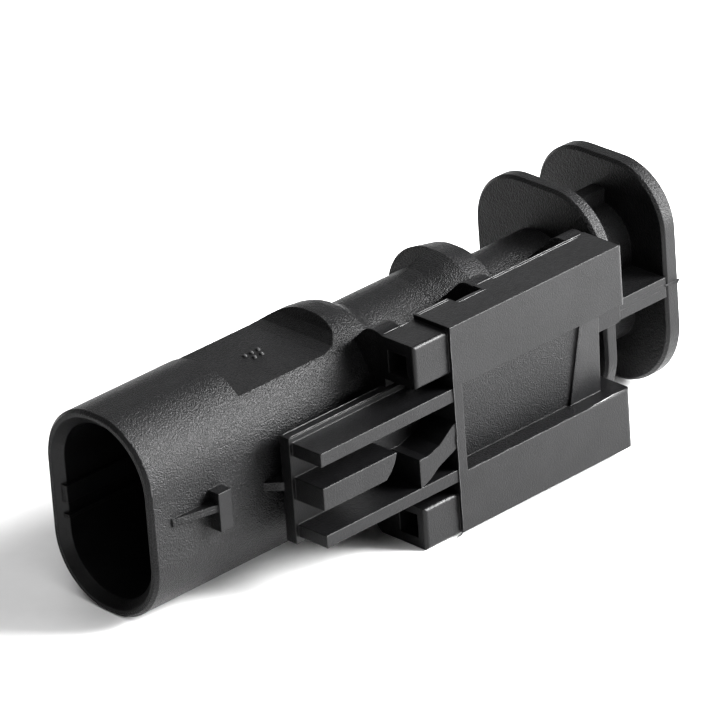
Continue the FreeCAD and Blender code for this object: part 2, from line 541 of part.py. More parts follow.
# Mating socket, in two steps so that a full wall stays under the latch seat.
socket = sketch_on(housing, "socket", "YZ_Plane")
oval(socket, SOCKET_WIDTH, SOCKET_HEIGHT, SOCKET_WIDTH + " / 2 - socket_flat")
extrude(housing, "Pocket", "socket_front", socket, "socket_depth", backwards=True)
deep_socket = sketch_on(housing, "deep_socket", "YZ_Plane", "socket_depth")
oval(deep_socket, "deep_socket_width", "deep_socket_height", "deep_socket_width / 2 - deep_socket_flat")
extrude(housing, "Pocket", "socket_rear", deep_socket, "deep_socket_depth", backwards=True)
lead_in_front = sketch_on(housing, "lead_in_front", "YZ_Plane")
oval(lead_in_front, SOCKET_WIDTH + " + 2 * mouth_chamfer", SOCKET_HEIGHT + " + 2 * mouth_chamfer",
     SOCKET_WIDTH + " / 2 - socket_flat + mouth_chamfer")
lead_in_rear = sketch_on(housing, "lead_in_rear", "YZ_Plane", "mouth_chamfer")
oval(lead_in_rear, SOCKET_WIDTH, SOCKET_HEIGHT, SOCKET_WIDTH + " / 2 - socket_flat")
loft(housing, "mouth_lead_in", [lead_in_front, lead_in_rear], "SubtractiveLoft")

# Keying ribs on the far wall of the socket.
keys = sketch_on(housing, "keys", "YZ_Plane", "key_start")
for level, width in (("key_rib_level", "key_rib_width"), ("small_key_level", "small_key_width")):
    rectangle(keys, "mouth_width / 2 - mouth_wall_side - key_rib_height", "mouth_width / 2 - 0.5",
              "%s - %s / 2" % (level, width), "%s + %s / 2" % (level, width))
extrude(housing, "Pad", "key_ribs", keys, "socket_depth")

# Two contact chambers, one above the other, each with a round seal bore behind it.
upper, lower = "contact_pitch / 2", "-contact_pitch / 2"
slots = sketch_on(housing, "slots", "YZ_Plane", SOCKET_END)
chambers = sketch_on(housing, "chambers", "YZ_Plane", CHAMBER_START)
for level in (upper, lower):
    rectangle(slots, "-blade_width / 2 - slot_clearance", "blade_width / 2 + slot_clearance",
              level + " - blade_thickness / 2 - slot_clearance",
              level + " + blade_thickness / 2 + slot_clearance")
    rectangle(chambers, "-chamber_width / 2", "chamber_width / 2",
              level + " - chamber_height / 2", level + " + chamber_height / 2")
rectangle(slots, "-lock_tongue_width / 2 - slot_clearance", "lock_tongue_width / 2 + slot_clearance",
          "-lock_tongue / 2 - slot_clearance", "lock_tongue / 2 + slot_clearance")
extrude(housing, "Pocket", "front_slots", slots, "contact_wall + 0.01", backwards=True)
extrude(housing, "Pocket", "contact_chambers", chambers, "chamber_length", backwards=True)
lance_room = sketch_on(housing, "lance_room", "YZ_Plane", CHAMBER_START)
rectangle(lance_room, "-lock_tongue_width / 2 - slot_clearance", "lock_tongue_width / 2 + slot_clearance",
          lower + " + 0.5", upper + " - 0.5")
extrude(housing, "Pocket", "lance_way", lance_room,
        "lance_room_start + lance_room_length - " + CHAMBER_START, backwards=True)
bores = sketch_on(housing, "bores", "YZ_Plane", BORE_START)
round_holes(bores, "seal_bore", [("0", upper), ("0", lower)])
extrude(housing, "Pocket", "seal_bores", bores, "seal_seat_length", backwards=True)
entries = sketch_on(housing, "entries", "YZ_Plane", ENTRY_START)
round_holes(entries, "entry_bore", [("0", upper), ("0", lower)])
wire_entries = extrude(housing, "Pocket", "wire_entries", entries, REAR_END + " - " + ENTRY_START,
                       backwards=True)

# Edge work: rounded blocks and rounded corners at the frame's rear end.
blocks_rounded = dress(housing, "Fillet", "block_rounding", wire_entries,
                       lambda middle, ends, edge: abs(middle.y + size("block_reach")) < 0.001
                       and middle.x < size("frame_start") - 0.01
                       and abs(middle.z) > size("frame_foot") - size("lower_bar") - 0.001
                       and abs(middle.z) > size("upper_block_top") - size("upper_block") - 0.01,
                       "block_round")

FRAME_REAR = size("frame_start") + size("frame_length")


def frame_corner(middle, ends, edge):
    """The upright outer edges at the frame's rear end, and the rear edge of its top."""
    at_rear = abs(middle.x - FRAME_REAR) < 0.01 and abs(edge.Length) > 2
    upright = len(ends) == 2 and abs(ends[0].z - ends[1].z) > 2
    outer = abs(middle.y + size("frame_reach")) < 0.01
    at_top = abs(middle.z - size("frame_top")) < 0.01 and middle.y < -size("rail_back")
    return at_rear and ((upright and outer) or at_top)


dress(housing, "Fillet", "frame_rounding", blocks_rounded, frame_corner, "frame_corner")

# Blade contacts: stamped and folded brass, one for each chamber.


def blade_contact(name, turned):
    """A contact lying along X at Y = 0, Z = 0; the lower one is turned half a turn about X."""
    contact = new_body(name)
    blade = sketch_on(contact, name + "_blade", "XY_Plane", "-blade_thickness / 2")
    polygon(blade, [("blade_front", "-blade_width / 2 + 0.8"),
                    ("blade_front + blade_taper", "-blade_width / 2"),
                    (BOX_START + " + 0.5", "-blade_width / 2"),
                    (BOX_START + " + 0.5", "blade_width / 2"),
                    ("blade_front + blade_taper", "blade_width / 2"),
                    ("blade_front", "blade_width / 2 - 0.8")])
    extrude(contact, "Pad", name + "_tab", blade, "blade_thickness")
    box = sketch_on(contact, name + "_box", "YZ_Plane", BOX_START)
    rectangle(box, "-box_width / 2", "box_width / 2", "-box_height / 2", "box_height / 2")
    extrude(contact, "Pad", name + "_case", box, "box_length")
    inside = sketch_on(contact, name + "_inside", "YZ_Plane", BOX_END)
    rectangle(inside, "-box_width / 2 + contact_sheet", "box_width / 2 - contact_sheet",
              "-box_height / 2 + contact_sheet", "box_height / 2 - contact_sheet")
    extrude(contact, "Pocket", name + "_hollow", inside, "box_length - 1")
    lance = sketch_on(contact, name + "_lance", "XZ_Plane", "-lance_width / 2")
    tip = "lance_room_start + lance_room_length - contact_clearance"
    polygon(lance, [(tip + " - lance_length", "-box_height / 2 + contact_sheet - sheet_inset"),
                    (tip + " - lance_length", "-box_height / 2 + sheet_inset"),
                    (tip, "-box_height / 2 - lance_rise"),
                    (tip, "-box_height / 2 - lance_rise + contact_sheet")])
    extrude(contact, "Pad", name + "_spring", lance, "lance_width")
    strip = sketch_on(contact, name + "_strip", "XZ_Plane")
    rise = [(BOX_END + " - 0.5", "box_height / 2"), (WIRE_CRIMP + " + 0.2", "wire_crimp_radius"),
            (BORE_START + " + sheet_inset", "wire_crimp_radius"), (SEAL_CRIMP + " + 0.2", "seal_crimp_radius")]
    top_line = [(along, level + " - sheet_inset") for along, level in rise]
    foot_line = [(along, level + " - contact_sheet + sheet_inset / 2") for along, level in reversed(rise)]
    polygon(strip, top_line + foot_line)
    extrude(contact, "Pad", name + "_neck", strip, "contact_neck", both_ways=True)
    for part, start in (("wire_crimp", WIRE_CRIMP), ("seal_crimp", SEAL_CRIMP)):
        wings = sketch_on(contact, name + "_" + part, "YZ_Plane", start)
        horseshoe(wings, part + "_radius", "contact_sheet", part + "_drop")
        extrude(contact, "Pad", name + "_" + part + "_wings", wings, part + "_length")
    contact.Placement = FreeCAD.Placement(
        FreeCAD.Vector(0, 0, 0), FreeCAD.Rotation(FreeCAD.Vector(1, 0, 0), 180 if turned else 0))
    contact.setExpression("Placement.Base.z", link(lower if turned else upper))
    return contact


# Wire seals: soft rings with three lips outside and a plain bore for the wire.


def wire_seal(name, level):
    seal = new_body(name)
    profile = sketch_on(seal, name + "_profile", "XZ_Plane")
    start = SEAL_CRIMP + " + 0.2"
    lip = "seal_bore / 2 - seal_clearance"
    root = "seal_bore / 2 - seal_clearance - seal_lip_depth"
    nose = "seal_crimp_radius - contact_sheet - nose_clearance"
    corners = [(start, "seal_wire_bore / 2"), (start, nose), (start + " + seal_nose_length", nose),
               (start + " + seal_nose_length", root)]
    for k in range(3):
        ridge = start + " + seal_nose_length + 0.3 + %d * (seal_lip_width + 0.45)" % k
        corners += [(ridge, root), (ridge + " + 0.5 * seal_lip_width", lip),
                    (ridge + " + seal_lip_width", root)]
    corners += [(start + " + seal_length", root), (start + " + seal_length", "seal_wire_bore / 2")]
    polygon(profile, corners)
    turned = seal.newObject("PartDesign::Revolution", name + "_turned")
    turned.Profile = profile
    turned.ReferenceAxis = (profile, ["H_Axis"])
    turned.Angle = 360
    seal.setExpression("Placement.Base.z", link(level))
    return seal


# Secondary lock: a guide plate round the blades with a tongue between the contacts.
secondary_lock = new_body("secondary_lock")
guide = sketch_on(secondary_lock, "guide", "YZ_Plane", SOCKET_END + " - lock_plate")
oval(guide, "deep_socket_width - 2 * slide_clearance", "deep_socket_height - 2 * slide_clearance",
     "deep_socket_width / 2 - deep_socket_flat - slide_clearance")
extrude(secondary_lock, "Pad", "guide_plate", guide, "lock_plate - 0.02")
tongue = sketch_on(secondary_lock, "tongue", "YZ_Plane", SOCKET_END + " - lock_plate / 2")
rectangle(tongue, "-lock_tongue_width / 2", "lock_tongue_width / 2", "-lock_tongue / 2", "lock_tongue / 2")
extrude(secondary_lock, "Pad", "lock_tongue_bar", tongue, "lock_plate / 2 + lock_tongue_length")
windows = sketch_on(secondary_lock, "windows", "YZ_Plane", SOCKET_END + " - lock_plate")
for level in (upper, lower):
    rectangle(windows, "-blade_width / 2 - slot_clearance", "blade_width / 2 + slot_clearance",
              level + " - blade_thickness / 2 - slot_clearance",
              level + " + blade_thickness / 2 + slot_clearance")
extrude(secondary_lock, "Pocket", "blade_windows", windows, "lock_plate", backwards=True)
dish = sketch_on(secondary_lock, "dish", "YZ_Plane", SOCKET_END + " - lock_plate")
oval(dish, "deep_socket_width - 2 * slide_clearance - 2 * lock_rim",
     "deep_socket_height - 2 * slide_clearance - 2 * lock_rim",
     "deep_socket_width / 2 - deep_socket_flat - slide_clearance - lock_rim")
extrude(secondary_lock, "Pocket", "guide_dish", dish, "lock_plate - lock_rim_height", backwards=True)

parts = [housing, secondary_lock,
         blade_contact("upper_blade_contact", False), blade_contact("lower_blade_contact", True),
         wire_seal("upper_wire_seal", upper), wire_seal("lower_wire_seal", lower)]

doc.recompute()
for item in doc.Objects:
    if "Invalid" in item.State or "Error" in item.State:
        raise ValueError("not built: %s %s" % (item.Name, item.State))
for item in doc.Objects:
    if item.TypeId == "PartDesign::Pocket" and item.BaseFeature is not None:
        if item.Shape.Volume > item.BaseFeature.Shape.Volume - 0.001:
            raise ValueError("cuts nothing: " + item.Name)

os.makedirs("parts", exist_ok=True)
for part in parts:
    if part.Shape.isNull() or not part.Shape.isValid():
        raise ValueError("bad shape: " + part.Label)
    part.Shape.exportStep(os.path.join("parts", part.Label + ".step"))
    box = part.Shape.BoundBox
    print("%-22s solids %d volume %9.2f x %.2f..%.2f y %.2f..%.2f z %.2f..%.2f" % (
        part.Label, len(part.Shape.Solids), part.Shape.Volume,
        box.XMin, box.XMax, box.YMin, box.YMax, box.ZMin, box.ZMax))
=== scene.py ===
import math

import bmesh
import bpy
from mathutils import Matrix, Vector


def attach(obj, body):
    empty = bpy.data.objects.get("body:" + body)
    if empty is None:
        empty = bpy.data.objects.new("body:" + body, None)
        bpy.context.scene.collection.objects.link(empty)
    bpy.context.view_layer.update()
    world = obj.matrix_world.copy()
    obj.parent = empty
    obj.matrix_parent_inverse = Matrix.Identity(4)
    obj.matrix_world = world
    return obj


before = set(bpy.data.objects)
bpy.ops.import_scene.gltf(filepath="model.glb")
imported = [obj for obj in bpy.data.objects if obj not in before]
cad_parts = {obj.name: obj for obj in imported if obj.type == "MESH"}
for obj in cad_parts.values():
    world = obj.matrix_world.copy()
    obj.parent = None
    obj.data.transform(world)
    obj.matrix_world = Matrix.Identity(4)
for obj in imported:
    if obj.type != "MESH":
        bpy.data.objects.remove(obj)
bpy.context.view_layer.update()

# Housing: the connector's one black moulding, glass-filled polyamide 66 shot into a steel
# mould. Shroud, body, collar, flanges and the sunk panel of the rail's frame have the dull
# grain of spark-eroded steel. The rest of the rail is cut in finer steel, and the core that
# leaves the socket is polished.

MOULDED_BLACK = "#0a0a0b"
MOULDED_BLACK_PALE = "#101011"
FLOW_MARK_MM = 3.5
# a real eroded grain is about 0.05 mm wide: it is drawn wider, so that it shows
ERODED_GRAIN_MM = 0.16
GRAIN_DEPTH_MM = 0.13
ERODED_ROUGHNESS = (0.34, 0.50)
RAIL_MOTTLE_MM = 0.7
RAIL_ROUGHNESS = (0.36, 0.44)
RAIL_GRAIN_STRENGTH = 0.3
# polyamide has 1.53, but the photo shows less sheen than that on every face
GRAINED_NYLON_IOR = 1.33
EDGE_ROUND_MM = 0.16
EDGE_SAMPLES = 4
NOISE_USUAL = (0.3, 0.7)

# where the mould's surface changes
RAIL_STARTS_AT_Y_MM = -8.2
RAIL_BLEND_MM = 0.3
FRAME_FACE_Y_MM = -13.4
PANEL_MIDDLE_MM = (41.2, -0.3)
PANEL_HALF_MM = (8.5, 4.5)
OVAL_CORNER_Z_MM = 3.4
SOCKET_WALL_MM = 6.45
SOCKET_END_MM = 12.5


def linear(hex_colour):
    """An sRGB hex colour as the linear colour that the shader takes."""
    parts = [int(hex_colour[k:k + 2], 16) / 255 for k in (1, 3, 5)]
    return [c / 12.92 if c <= 0.04045 else ((c + 0.055) / 1.055) ** 2.4 for c in parts] + [1.0]


def add_node(tree, kind, settings=(), inputs=()):
    """Adds a node with its settings; an input is a plain value or another node's output."""
    node = tree.nodes.new(kind)
    for name, value in dict(settings).items():
        setattr(node, name, value)
    for name, value in dict(inputs).items():
        if isinstance(value, bpy.types.NodeSocket):
            tree.links.new(value, node.inputs[name])
        else:
            node.inputs[name].default_value = value
    return node


def start_material(name):
    """A new material, its empty node tree and the place of each point on its piece."""
    material = bpy.data.materials.new(name)
    material.use_nodes = True
    tree = material.node_tree
    tree.nodes.clear()
    return material, tree, add_node(tree, "ShaderNodeTexCoord").outputs["Object"]


def noise(tree, place, size_mm, detail, roughness):
    """A cloudy pattern of a given size."""
    return add_node(tree, "ShaderNodeTexNoise", inputs={
        "Vector": place, "Scale": 1000 / size_mm,
        "Detail": detail, "Roughness": roughness}).outputs["Fac"]


def spread(tree, pattern, low, high):
    """Takes the usual range of a noise to a range of values."""
    return add_node(tree, "ShaderNodeMapRange", inputs={
        "Value": pattern, "From Min": NOISE_USUAL[0], "From Max": NOISE_USUAL[1],
        "To Min": low, "To Max": high}).outputs["Result"]


def two_tone(tree, pattern, dark, dark_until, pale, pale_from):
    """Takes a pattern to a colour between a dark and a pale one."""
    ramp = add_node(tree, "ShaderNodeValToRGB", inputs={"Fac": pattern})
    first, second = ramp.color_ramp.elements
    first.position, first.color = dark_until, linear(dark)
    second.position, second.color = pale_from, linear(pale)
    return ramp.outputs["Color"]


def worked_out(tree, operation, *values):
    """One step of arithmetic on values of the shader."""
    return add_node(tree, "ShaderNodeMath", {"operation": operation},
                    enumerate(values)).outputs["Value"]


def rounded_edges(tree, radius_mm):
    """A surface direction that turns smoothly over sharp edges."""
    return add_node(tree, "ShaderNodeBevel", {"samples": EDGE_SAMPLES},
                    {"Radius": radius_mm / 1000}).outputs["Normal"]


def relief(tree, pattern, depth_mm, strength, over=None):
    """A surface direction that follows a pattern as fine ups and downs."""
    bump = add_node(tree, "ShaderNodeBump", inputs={
        "Strength": strength, "Distance": depth_mm / 1000, "Height": pattern})
    if over:
        tree.links.new(over, bump.inputs["Normal"])
    return bump.outputs["Normal"]


def end_material(tree, kind, inputs):
    """Makes the surface shader and shows it."""
    shader = add_node(tree, kind, inputs=inputs)
    add_node(tree, "ShaderNodeOutputMaterial", inputs={"Surface": shader.outputs["BSDF"]})


def eroded_parts(tree, place):
    """1 where the mould is spark-eroded, 0 on the finer rail and in the polished socket."""
    split = add_node(tree, "ShaderNodeSeparateXYZ", inputs={"Vector": place})
    x, y, z = split.outputs["X"], split.outputs["Y"], split.outputs["Z"]
    off_rail = add_node(tree, "ShaderNodeMapRange", inputs={
        "Value": y, "From Min": (RAIL_STARTS_AT_Y_MM - RAIL_BLEND_MM) / 1000,
        "From Max": (RAIL_STARTS_AT_Y_MM + RAIL_BLEND_MM) / 1000}).outputs["Result"]

    along_panel = worked_out(tree, "COMPARE", x, PANEL_MIDDLE_MM[0] / 1000, PANEL_HALF_MM[0] / 1000)
    up_panel = worked_out(tree, "COMPARE", z, PANEL_MIDDLE_MM[1] / 1000, PANEL_HALF_MM[1] / 1000)
    sunk = worked_out(tree, "GREATER_THAN", y, FRAME_FACE_Y_MM / 1000)
    panel = worked_out(tree, "MULTIPLY", worked_out(tree, "MULTIPLY", along_panel, up_panel), sunk)

    height = worked_out(tree, "ABSOLUTE", z)
    past_corner = worked_out(tree, "SUBTRACT", height, OVAL_CORNER_Z_MM / 1000)
    round_oval = add_node(tree, "ShaderNodeCombineXYZ", inputs={
        "X": y, "Y": worked_out(tree, "MAXIMUM", past_corner, 0.0)})
    from_middle = add_node(tree, "ShaderNodeVectorMath", {"operation": "LENGTH"}, {
        0: round_oval.outputs["Vector"]}).outputs["Value"]
    outside_socket = worked_out(tree, "GREATER_THAN", from_middle, SOCKET_WALL_MM / 1000)
    past_socket = worked_out(tree, "GREATER_THAN", x, SOCKET_END_MM / 1000)
    not_cored = worked_out(tree, "MAXIMUM", outside_socket, past_socket)

    grained = worked_out(tree, "MULTIPLY", off_rail, not_cored)
    return worked_out(tree, "MAXIMUM", grained, panel)


def spark_eroded_nylon():
    """Black polyamide from an eroded mould: a fine dull grain breaks up every highlight on the
    shroud and body, and the rail, cut in finer steel, is smoother and only mottled."""
    material, tree, place = start_material("spark_eroded_nylon")
    eroded = eroded_parts(tree, place)
    grain = noise(tree, place, ERODED_GRAIN_MM, 2.0, 0.6)
    mottle = noise(tree, place, RAIL_MOTTLE_MM, 3.0, 0.6)
    flow = noise(tree, place, FLOW_MARK_MM, 3.0, 0.55)
    roughness = add_node(tree, "ShaderNodeMix", {"data_type": "FLOAT"}, {
        0: eroded, 2: spread(tree, mottle, *RAIL_ROUGHNESS),
        3: spread(tree, grain, *ERODED_ROUGHNESS)}).outputs[0]
    strength = add_node(tree, "ShaderNodeMapRange", inputs={
        "Value": eroded, "To Min": RAIL_GRAIN_STRENGTH, "To Max": 1.0}).outputs["Result"]
    edges = rounded_edges(tree, EDGE_ROUND_MM)
    end_material(tree, "ShaderNodeBsdfPrincipled", {
        "Base Color": two_tone(tree, flow, MOULDED_BLACK, 0.35, MOULDED_BLACK_PALE, 0.75),
        "Roughness": roughness, "IOR": GRAINED_NYLON_IOR,
        "Normal": relief(tree, grain, GRAIN_DEPTH_MM, strength, over=edges)})
    return material


def dress_node(node_name, material):
    """Puts one material on a node that keeps its own shape."""
    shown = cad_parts[node_name]
    for slot in shown.material_slots:
        slot.material = material


nylon = spark_eroded_nylon()
dress_node("housing", nylon)

# Parting lines: the two halves of the mould and its side cores meet along the rail and
# round the mouth, and a hair of plastic squeezes out there. It is thin and shiny, stands up
# a few hundredths of a millimetre, and is part of the same moulding.

FLASH_BLACK = "#1a1a1b"
FLASH_RAGGED_MM = 0.6
FLASH_RELIEF_MM = 0.05
SMOOTH_NYLON_IOR = 1.53
FLASH_HALF_WIDTH_MM = 0.03
FLASH_RISE_MM = 0.04
FLASH_END_TAPER = 0.35
FLASH_UNEVEN = 0.3
FLASH_UNEVEN_TURN = 2.7
# how far an added piece reaches into the face that it stands on
LAP_MM = 0.03

SEAM_STEP_MM = 0.7
SEAM_SWAY_MM = 0.03
SEAM_SWAY_TURNS = (2.3, 0.7)
SEAM_SWAY_START = 1.1

UP, DOWN = (0, 0, 1), (0, 0, -1)
NEAR_SIDE, FAR_SIDE = (0, -1, 0), (0, 1, 0)
REARWARD = (1, 0, 0)
DIAGONAL = 0.7


def squeezed_nylon():
    """The same plastic where it cooled outside the grain: smooth, so it catches the light."""
    material, tree, place = start_material("squeezed_nylon")
    ragged = noise(tree, place, FLASH_RAGGED_MM, 3.0, 0.6)
    end_material(tree, "ShaderNodeBsdfPrincipled", {
        "Base Color": linear(FLASH_BLACK), "Roughness": spread(tree, ragged, 0.36, 0.56),
        "IOR": SMOOTH_NYLON_IOR, "Normal": relief(tree, ragged, FLASH_RELIEF_MM, 0.5)})
    return material


def moulded_on(name, rings_mm, material):
    """A closed piece of the housing's moulding, skinned over rings of points."""
    mesh = bpy.data.meshes.new(name)
    shape = bmesh.new()
    rings = [[shape.verts.new(Vector(point) / 1000) for point in ring] for ring in rings_mm]
    for one, two in zip(rings, rings[1:]):
        for k in range(len(one)):
            after = (k + 1) % len(one)
            shape.faces.new((one[k], one[after], two[after], two[k]))
    shape.faces.new(rings[0])
    shape.faces.new(list(reversed(rings[-1])))
    bmesh.ops.recalc_face_normals(shape, faces=shape.faces)
    shape.to_mesh(mesh)
    shape.free()
    mesh.materials.append(material)
    piece = bpy.data.objects.new(name, mesh)
    bpy.context.scene.collection.objects.link(piece)
    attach(piece, "connector")


def flash_line(name, corners_mm, outward, across,
               half_width=FLASH_HALF_WIDTH_MM, rise=FLASH_RISE_MM):
    """A ridge of triangular section along corners, standing out of the face it lies on."""
    out, side = Vector(outward), Vector(across)
    rings = []
    for k, corner in enumerate(corners_mm):
        taper = FLASH_END_TAPER if k in (0, len(corners_mm) - 1) else 1.0
        ragged = 1 - FLASH_UNEVEN + FLASH_UNEVEN * math.sin(FLASH_UNEVEN_TURN * k + len(name))
        middle = Vector(corner)
        rings.append((middle - side * half_width - out * LAP_MM,
                      middle + out * rise * taper * ragged,
                      middle + side * half_width - out * LAP_MM))
    moulded_on(name, rings, flash_plastic)


def on_housing(start_mm, end_mm, look, sway=SEAM_SWAY_MM):
    """Points where the housing is met when a line beside it is looked along, a little unsteady."""
    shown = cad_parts["housing"]
    start, end, view = Vector(start_mm), Vector(end_mm), Vector(look)
    along = (end - start).normalized()
    count = max(2, round((end - start).length / SEAM_STEP_MM))
    points = []
    for k in range(count + 1):
        wander = (view.cross(along) * sway * math.sin(k * SEAM_SWAY_TURNS[0] + start.x)
                  * math.sin(k * SEAM_SWAY_TURNS[1] + SEAM_SWAY_START))
        met, place, _, _ = shown.ray_cast((start.lerp(end, k / count) + wander) / 1000, view)
        if met:
            points.append(place * 1000)
    return points


def seam_from_above(name, start_x, end_x, y, above):
    """A line where the housing is met from above."""
    points = on_housing((start_x, y, above), (end_x, y, above), DOWN)
    flash_line(name, points, UP, FAR_SIDE)


def seam_from_the_rail(name, start_x, end_x, z, sway, half_width=FLASH_HALF_WIDTH_MM):
    """A line where the housing is met from beside the rail."""
    points = on_housing((start_x, -20, z), (end_x, -20, z), FAR_SIDE, sway=sway)
    flash_line(name, points, NEAR_SIDE, UP, half_width=half_width)


flash_plastic = squeezed_nylon()
bpy.context.view_layer.update()

# along the back edge of the rail's top the two mould halves left a double line
seam_from_above("rail_seam_block", 28.6, 32.4, -8.86, 14)
seam_from_above("rail_seam_front", 32.9, 36.9, -8.86, 14)
seam_from_above("rail_seam_front_twin", 32.9, 36.9, -9.14, 14)
seam_from_above("rail_seam_rear", 40.8, 55.3, -8.86, 14)
seam_from_above("rail_seam_rear_twin", 42.6, 54.0, -9.14, 14)

# the slot in the rail's top has a thin lip on its near side and a line beside it
flash_line("slot_lip", [(37.05, -9.84, 10.4), (38.7, -9.8, 10.42), (40.35, -9.84, 10.4)],
           UP, FAR_SIDE, half_width=0.16, rise=0.07)
seam_from_above("slot_seam", 37.0, 40.6, -10.2, 14)

# a double line runs along the top of the fin plate
seam_from_above("plate_seam_outer", 15.4, 28.0, -9.42, 6)
seam_from_above("plate_seam_inner", 15.4, 28.0, -8.5, 6)

# the side web between the flanges carries the same line, which runs out over both rims
# and stands up as a tab on the rear one
seam_from_the_rail("flange_web_seam", 56.4, 65.8, 0.85, 0.02)
seam_from_the_rail("flange_web_seam_twin", 57.6, 65.0, 0.35, 0.02)
flash_line("rear_flange_tab",
           [(65.9, -8.5, 0.62), (66.5, -8.5, 0.62), (67.2, -8.5, 0.6), (67.85, -8.5, 0.62)],
           NEAR_SIDE, UP, half_width=0.1, rise=0.5)

# the nub's wedge rib has the line down its middle
seam_from_the_rail("nub_rib_seam", 2.6, 6.9, 0.45, 0.015, half_width=0.04)

# the frame's front edge and the top edge of its lower bar are ragged: plastic crept
# between the side core and the steel there, most of all at the two ends
front_edge = [(32.62 + 0.03 * math.sin(2.1 * k), -13.43, 10.3 - 1.05 * k) for k in range(21)]
flash_line("frame_edge", front_edge, (-DIAGONAL, -DIAGONAL, 0), (DIAGONAL, -DIAGONAL, 0),
           half_width=0.05, rise=0.1)
flash_line("frame_edge_hook",
           [(32.66, -13.3, -10.55), (32.6, -13.34, -10.85),
            (32.35, -13.34, -11.05), (31.95, -13.3, -11.12)],
           NEAR_SIDE, (DIAGONAL, 0, DIAGONAL), half_width=0.17, rise=0.12)
bar_edge = [(34.0 + 1.06 * k, -13.38, -4.78 + 0.03 * math.sin(1.7 * k)) for k in range(21)]
flash_line("lower_bar_edge", bar_edge, (0, -0.5, 0.87), (0, 0.87, 0.5), half_width=0.06, rise=0.1)
flash_line("lower_bar_crest",
           [(49.6, -13.3, -4.82), (51.5, -13.3, -4.78), (53.6, -13.3, -4.76), (55.4, -13.3, -4.78)],
           UP, FAR_SIDE, half_width=0.07, rise=0.16)

# Rim steps: two steps in the rim of the mouth, where the shut-off steel has worn. Each is
# a short ridge across the rounded corner of the oval, part of the housing's moulding.

RIM_CORNER_Y_MM = -0.5
RIM_CORNER_Z_MM = 3.65
RIM_RADIUS_MM = 6.58
RIM_BEVEL_X_MM = 0.28
RIM_STEP_HALF_LENGTH_MM = 0.5

for name, y, z in (("rim_step_upper", -4.1, 8.6), ("rim_step_lower", -6.55, 4.4)):
    corner_z = math.copysign(RIM_CORNER_Z_MM, z)
    out = Vector((0, y - RIM_CORNER_Y_MM, z - corner_z)).normalized()
    rim = Vector((RIM_BEVEL_X_MM, RIM_CORNER_Y_MM, corner_z)) + out * RIM_RADIUS_MM
    run = out.cross(Vector(REARWARD)) * RIM_STEP_HALF_LENGTH_MM
    forward = Vector((-DIAGONAL, 0, 0))
    flash_line(name, [rim - run, rim, rim + run], out * DIAGONAL + forward,
               out * DIAGONAL - forward, half_width=0.1, rise=0.08)

# Web arm: the side web between the flanges runs on over the front flange's rim, as a flat
# arm with eased edges, to the last bulkhead of the rail. It has the housing's own grain.

ARM_LEVEL_MM = 0.45
ARM_BACK_Y_MM = -8.3
ARM_EDGE_Y_MM = -8.78
ARM_FACE_Y_MM = -8.84
ARM_EASED_MM = 0.08
ARM_STATIONS_MM = ((53.2, 0.9), (53.5, 1.05), (59.0, 1.05), (59.3, 0.9))

arm_rings = []
for x, half in ARM_STATIONS_MM:
    section = ((ARM_BACK_Y_MM, -half), (ARM_EDGE_Y_MM, -half),
               (ARM_FACE_Y_MM, -half + ARM_EASED_MM), (ARM_FACE_Y_MM, half - ARM_EASED_MM),
               (ARM_EDGE_Y_MM, half), (ARM_BACK_Y_MM, half))
    arm_rings.append([(x, y, ARM_LEVEL_MM + z) for y, z in section])
moulded_on("web_arm", arm_rings, nylon)

# Cavity mark: five pips on the latch seat, drilled in the mould to tell its cavities
# apart. Each is a low dome of the housing's own plastic.

PIP_RADIUS_MM = 0.26
PIP_HEIGHT_MM = 0.24
PIP_SIDES = 12
PIP_RING_PARTS = (0.0, 0.4, 0.75)
SEAT_LEVEL_MM = 8.4
PIP_PLACES_MM = ((19.5, 0.55), (20.35, 0.55), (21.2, 0.55), (19.9, -0.35), (20.8, -0.35))

for number, (x, y) in enumerate(PIP_PLACES_MM, start=1):
    rings = []
    for part in PIP_RING_PARTS:
        radius = PIP_RADIUS_MM * math.cos(part * math.pi / 2)
        level = SEAT_LEVEL_MM - LAP_MM + (PIP_HEIGHT_MM + LAP_MM) * math.sin(part * math.pi / 2)
        rings.append([(x + radius * math.cos(2 * math.pi * k / PIP_SIDES),
                       y + radius * math.sin(2 * math.pi * k / PIP_SIDES),
                       level) for k in range(PIP_SIDES)])
    moulded_on("cavity_pip_%d" % number, rings, flash_plastic)

# Secondary lock: the guide plate at the back of the socket, a small moulding of plain
# black polyester. It is smoother than the housing, because its mould was polished.

LOCK_BLACK = "#202124"
LOCK_CLOUD_MM = 1.5
LOCK_EDGE_ROUND_MM = 0.12
POLYESTER_IOR = 1.52


def polished_polyester():
    """Black PBT from a polished mould: an even satin face with soft sheen."""
    material, tree, place = start_material("polished_polyester")
    cloud = noise(tree, place, LOCK_CLOUD_MM, 2.0, 0.5)
    end_material(tree, "ShaderNodeBsdfPrincipled", {
        "Base Color": linear(LOCK_BLACK), "Roughness": spread(tree, cloud, 0.36, 0.44),
        "IOR": POLYESTER_IOR, "Normal": rounded_edges(tree, LOCK_EDGE_ROUND_MM)})
    return material


dress_node("secondary_lock", polished_polyester())

# Blade contacts: brass strip, tin-plated, then stamped and folded to a blade, a box and
# two crimp barrels. Each one snaps into its chamber and is held by its lance.

TIN_PALE = "#c9c9c6"
TIN_DEEP = "#a9a9a4"
TIN_CLOUD_MM = 0.9
ROLLING_LINE_MM = 0.08
ROLLING_STRETCH = 0.08
ROLLING_DEPTH_MM = 0.01


